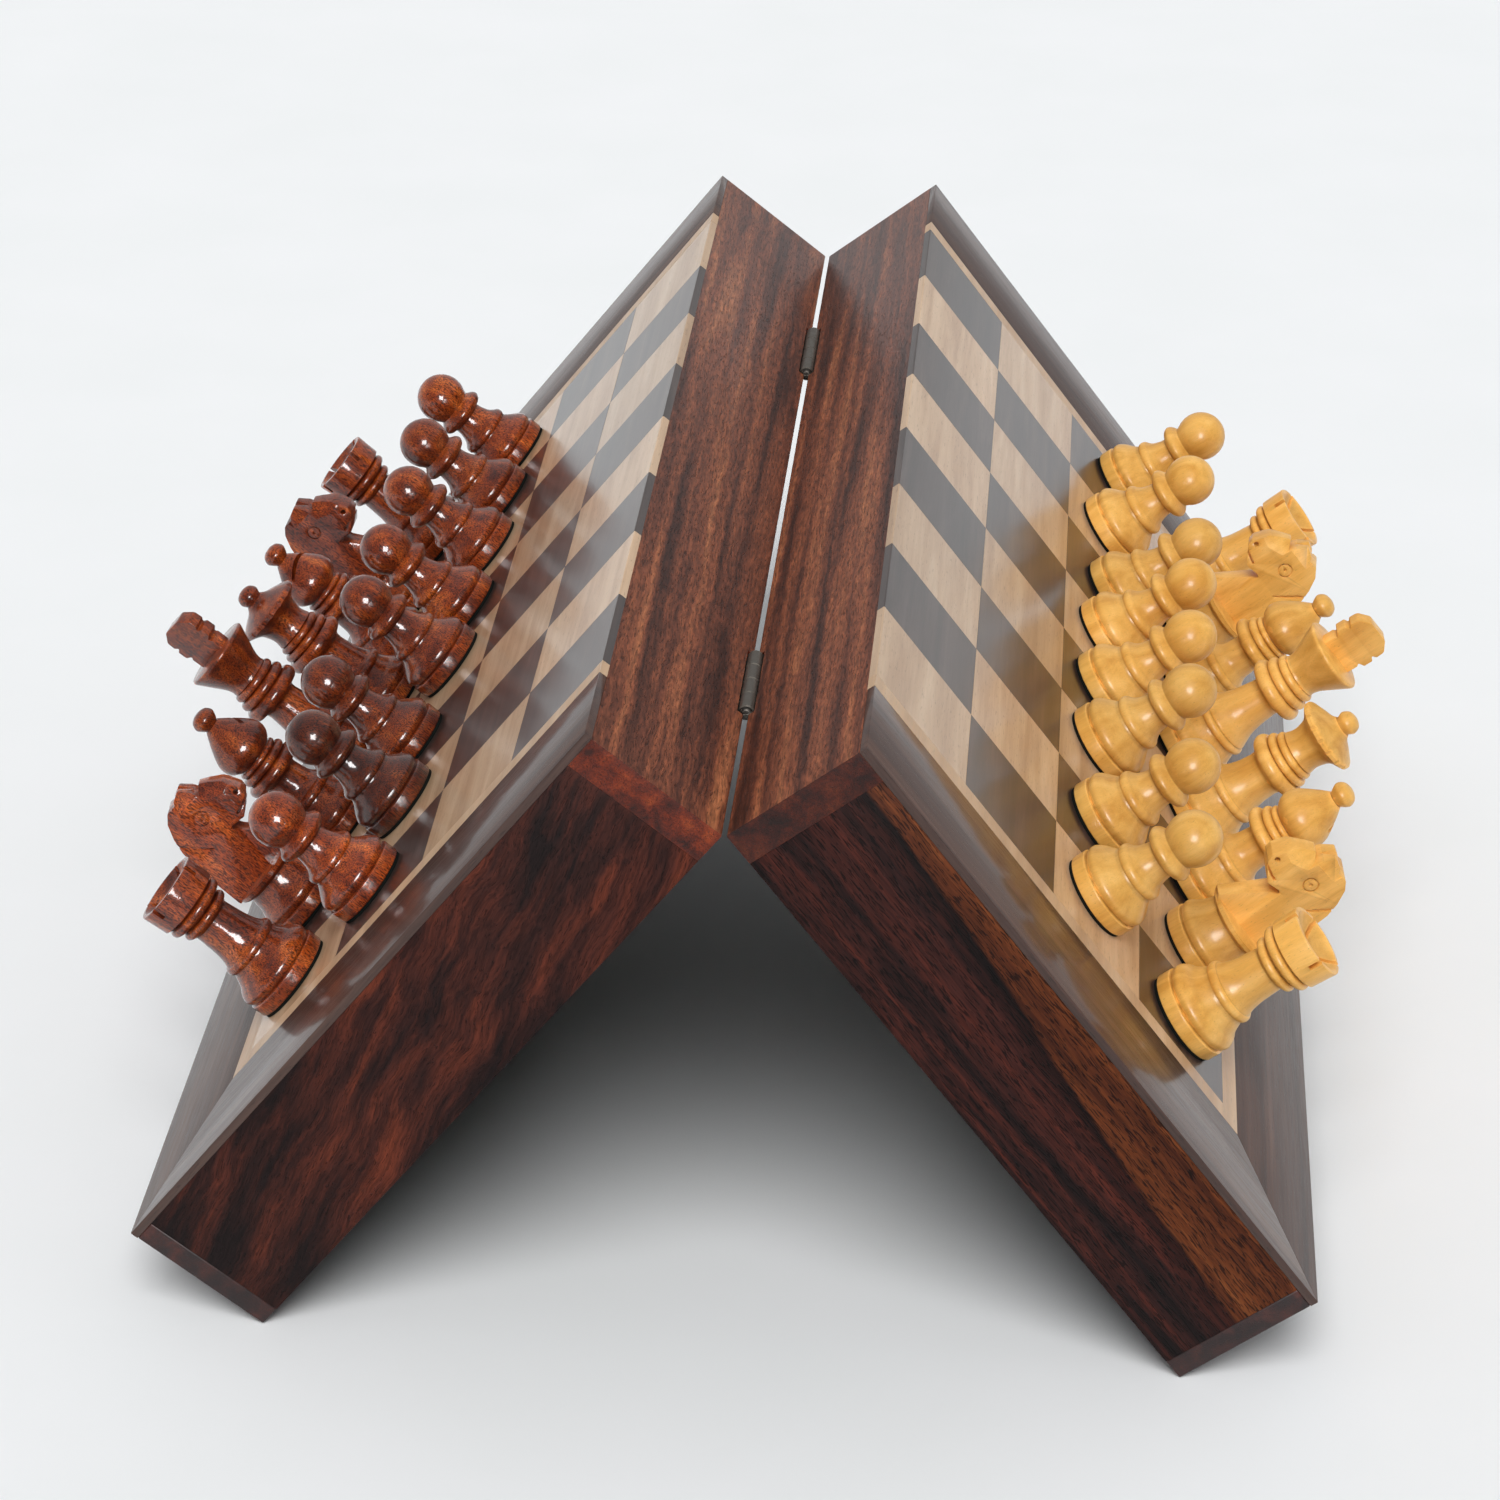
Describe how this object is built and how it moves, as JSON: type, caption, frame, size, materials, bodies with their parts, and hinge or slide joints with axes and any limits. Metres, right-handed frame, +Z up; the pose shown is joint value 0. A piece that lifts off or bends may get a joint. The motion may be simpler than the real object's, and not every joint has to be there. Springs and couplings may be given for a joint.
{
  "type": "folding chess set with board",
  "caption": "Folding wooden chess board of hinged tray halves standing as a tent, inlaid squares outside, with a full set of magnetic turned pieces on it.",
  "frame": {"origin": "under the middle of the standing set, on the surface that it stands on", "axes": "+Z up, the hinge line runs along Y, the half with the dark pieces leans to -X and the half with the light pieces to +X"},
  "size_m": [0.2284, 0.252, 0.1179],
  "materials": {
    "spine_rosewood": "satin",
    "wall_rosewood": "satin",
    "border_walnut": "satin",
    "dark_square_wood": "gloss",
    "light_square_wood": "gloss",
    "base_panel_wood": "matt",
    "steel_sheet": "satin",
    "magnet_metal": "satin",
    "felt": "matt",
    "hinge_steel": "blackened",
    "dark_men_wood": "gloss",
    "light_men_wood": "satin"
  },
  "bodies": {
    "left_half": {"left_spine_wall": "spine_rosewood", "left_outer_wall": "wall_rosewood", "left_near_end_wall": "wall_rosewood", "left_far_end_wall": "wall_rosewood", "left_base_panel": "base_panel_wood", "left_steel_sheet": "steel_sheet", "left_felt_lining": "felt", "left_closure_magnet": "magnet_metal", "left_squares": "dark_square_wood", "left_inlay_line": "light_square_wood", "left_border": "border_walnut", "near_hinge_left_leaf": "hinge_steel", "near_hinge_pin": "hinge_steel", "far_hinge_left_leaf": "hinge_steel", "far_hinge_pin": "hinge_steel"},
    "right_half": {"right_spine_wall": "spine_rosewood", "right_outer_wall": "wall_rosewood", "right_near_end_wall": "wall_rosewood", "right_far_end_wall": "wall_rosewood", "right_base_panel": "base_panel_wood", "right_steel_sheet": "steel_sheet", "right_felt_lining": "felt", "right_closure_magnet": "magnet_metal", "right_squares": "dark_square_wood", "right_inlay_line": "light_square_wood", "right_border": "border_walnut", "near_hinge_right_leaf": "hinge_steel", "far_hinge_right_leaf": "hinge_steel"},
    "dark_pawn_1": {"dark_pawn_1": "dark_men_wood"},
    "dark_pawn_2": {"dark_pawn_2": "dark_men_wood"},
    "dark_pawn_3": {"dark_pawn_3": "dark_men_wood"},
    "dark_pawn_4": {"dark_pawn_4": "dark_men_wood"},
    "dark_pawn_5": {"dark_pawn_5": "dark_men_wood"},
    "dark_pawn_6": {"dark_pawn_6": "dark_men_wood"},
    "dark_pawn_7": {"dark_pawn_7": "dark_men_wood"},
    "dark_pawn_8": {"dark_pawn_8": "dark_men_wood"},
    "dark_rook_1": {"dark_rook_1": "dark_men_wood"},
    "dark_knight_1": {"dark_knight_1": "dark_men_wood"},
    "dark_bishop_1": {"dark_bishop_1": "dark_men_wood"},
    "dark_king": {"dark_king": "dark_men_wood"},
    "dark_queen": {"dark_queen": "dark_men_wood"},
    "dark_bishop_2": {"dark_bishop_2": "dark_men_wood"},
    "dark_knight_2": {"dark_knight_2": "dark_men_wood"},
    "dark_rook_2": {"dark_rook_2": "dark_men_wood"},
    "light_pawn_1": {"light_pawn_1": "light_men_wood"},
    "light_pawn_2": {"light_pawn_2": "light_men_wood"},
    "light_pawn_3": {"light_pawn_3": "light_men_wood"},
    "light_pawn_4": {"light_pawn_4": "light_men_wood"},
    "light_pawn_5": {"light_pawn_5": "light_men_wood"},
    "light_pawn_6": {"light_pawn_6": "light_men_wood"},
    "light_pawn_7": {"light_pawn_7": "light_men_wood"},
    "light_pawn_8": {"light_pawn_8": "light_men_wood"},
    "light_rook_1": {"light_rook_1": "light_men_wood"},
    "light_knight_1": {"light_knight_1": "light_men_wood"},
    "light_bishop_1": {"light_bishop_1": "light_men_wood"},
    "light_queen": {"light_queen": "light_men_wood"},
    "light_king": {"light_king": "light_men_wood"},
    "light_bishop_2": {"light_bishop_2": "light_men_wood"},
    "light_knight_2": {"light_knight_2": "light_men_wood"},
    "light_rook_2": {"light_rook_2": "light_men_wood"}
  },
  "joints": [
    {"name": "board_hinge", "type": "hinge", "parent": "left_half", "child": "right_half", "pos_m": [0.00112, 0, 0.10071], "axis": [0, 1, 0], "range_deg": [-104.3, 75.7]},
    {"name": "dark_pawn_1_lift", "type": "slide", "parent": "left_half", "child": "dark_pawn_1", "axis": [-0.7896, 0, 0.6136], "range_m": [0, 0.05]},
    {"name": "dark_pawn_2_lift", "type": "slide", "parent": "left_half", "child": "dark_pawn_2", "axis": [-0.7896, 0, 0.6136], "range_m": [0, 0.05]},
    {"name": "dark_pawn_3_lift", "type": "slide", "parent": "left_half", "child": "dark_pawn_3", "axis": [-0.7896, 0, 0.6136], "range_m": [0, 0.05]},
    {"name": "dark_pawn_4_lift", "type": "slide", "parent": "left_half", "child": "dark_pawn_4", "axis": [-0.7896, 0, 0.6136], "range_m": [0, 0.05]},
    {"name": "dark_pawn_5_lift", "type": "slide", "parent": "left_half", "child": "dark_pawn_5", "axis": [-0.7896, 0, 0.6136], "range_m": [0, 0.05]},
    {"name": "dark_pawn_6_lift", "type": "slide", "parent": "left_half", "child": "dark_pawn_6", "axis": [-0.7896, 0, 0.6136], "range_m": [0, 0.05]},
    {"name": "dark_pawn_7_lift", "type": "slide", "parent": "left_half", "child": "dark_pawn_7", "axis": [-0.7896, 0, 0.6136], "range_m": [0, 0.05]},
    {"name": "dark_pawn_8_lift", "type": "slide", "parent": "left_half", "child": "dark_pawn_8", "axis": [-0.7896, 0, 0.6136], "range_m": [0, 0.05]},
    {"name": "dark_rook_1_lift", "type": "slide", "parent": "left_half", "child": "dark_rook_1", "axis": [-0.7896, 0, 0.6136], "range_m": [0, 0.05]},
    {"name": "dark_knight_1_lift", "type": "slide", "parent": "left_half", "child": "dark_knight_1", "axis": [-0.7896, 0, 0.6136], "range_m": [0, 0.05]},
    {"name": "dark_bishop_1_lift", "type": "slide", "parent": "left_half", "child": "dark_bishop_1", "axis": [-0.7896, 0, 0.6136], "range_m": [0, 0.05]},
    {"name": "dark_king_lift", "type": "slide", "parent": "left_half", "child": "dark_king", "axis": [-0.7896, 0, 0.6136], "range_m": [0, 0.05]},
    {"name": "dark_queen_lift", "type": "slide", "parent": "left_half", "child": "dark_queen", "axis": [-0.7896, 0, 0.6136], "range_m": [0, 0.05]},
    {"name": "dark_bishop_2_lift", "type": "slide", "parent": "left_half", "child": "dark_bishop_2", "axis": [-0.7896, 0, 0.6136], "range_m": [0, 0.05]},
    {"name": "dark_knight_2_lift", "type": "slide", "parent": "left_half", "child": "dark_knight_2", "axis": [-0.7896, 0, 0.6136], "range_m": [0, 0.05]},
    {"name": "dark_rook_2_lift", "type": "slide", "parent": "left_half", "child": "dark_rook_2", "axis": [-0.7896, 0, 0.6136], "range_m": [0, 0.05]},
    {"name": "light_pawn_1_lift", "type": "slide", "parent": "right_half", "child": "light_pawn_1", "axis": [0.7896, 0, 0.6136], "range_m": [0, 0.05]},
    {"name": "light_pawn_2_lift", "type": "slide", "parent": "right_half", "child": "light_pawn_2", "axis": [0.7896, 0, 0.6136], "range_m": [0, 0.05]},
    {"name": "light_pawn_3_lift", "type": "slide", "parent": "right_half", "child": "light_pawn_3", "axis": [0.7896, 0, 0.6136], "range_m": [0, 0.05]},
    {"name": "light_pawn_4_lift", "type": "slide", "parent": "right_half", "child": "light_pawn_4", "axis": [0.7896, 0, 0.6136], "range_m": [0, 0.05]},
    {"name": "light_pawn_5_lift", "type": "slide", "parent": "right_half", "child": "light_pawn_5", "axis": [0.7896, 0, 0.6136], "range_m": [0, 0.05]},
    {"name": "light_pawn_6_lift", "type": "slide", "parent": "right_half", "child": "light_pawn_6", "axis": [0.7896, 0, 0.6136], "range_m": [0, 0.05]},
    {"name": "light_pawn_7_lift", "type": "slide", "parent": "right_half", "child": "light_pawn_7", "axis": [0.7896, 0, 0.6136], "range_m": [0, 0.05]},
    {"name": "light_pawn_8_lift", "type": "slide", "parent": "right_half", "child": "light_pawn_8", "axis": [0.7896, 0, 0.6136], "range_m": [0, 0.05]},
    {"name": "light_rook_1_lift", "type": "slide", "parent": "right_half", "child": "light_rook_1", "axis": [0.7896, 0, 0.6136], "range_m": [0, 0.05]},
    {"name": "light_knight_1_lift", "type": "slide", "parent": "right_half", "child": "light_knight_1", "axis": [0.7896, 0, 0.6136], "range_m": [0, 0.05]},
    {"name": "light_bishop_1_lift", "type": "slide", "parent": "right_half", "child": "light_bishop_1", "axis": [0.7896, 0, 0.6136], "range_m": [0, 0.05]},
    {"name": "light_queen_lift", "type": "slide", "parent": "right_half", "child": "light_queen", "axis": [0.7896, 0, 0.6136], "range_m": [0, 0.05]},
    {"name": "light_king_lift", "type": "slide", "parent": "right_half", "child": "light_king", "axis": [0.7896, 0, 0.6136], "range_m": [0, 0.05]},
    {"name": "light_bishop_2_lift", "type": "slide", "parent": "right_half", "child": "light_bishop_2", "axis": [0.7896, 0, 0.6136], "range_m": [0, 0.05]},
    {"name": "light_knight_2_lift", "type": "slide", "parent": "right_half", "child": "light_knight_2", "axis": [0.7896, 0, 0.6136], "range_m": [0, 0.05]},
    {"name": "light_rook_2_lift", "type": "slide", "parent": "right_half", "child": "light_rook_2", "axis": [0.7896, 0, 0.6136], "range_m": [0, 0.05]}
  ]
}
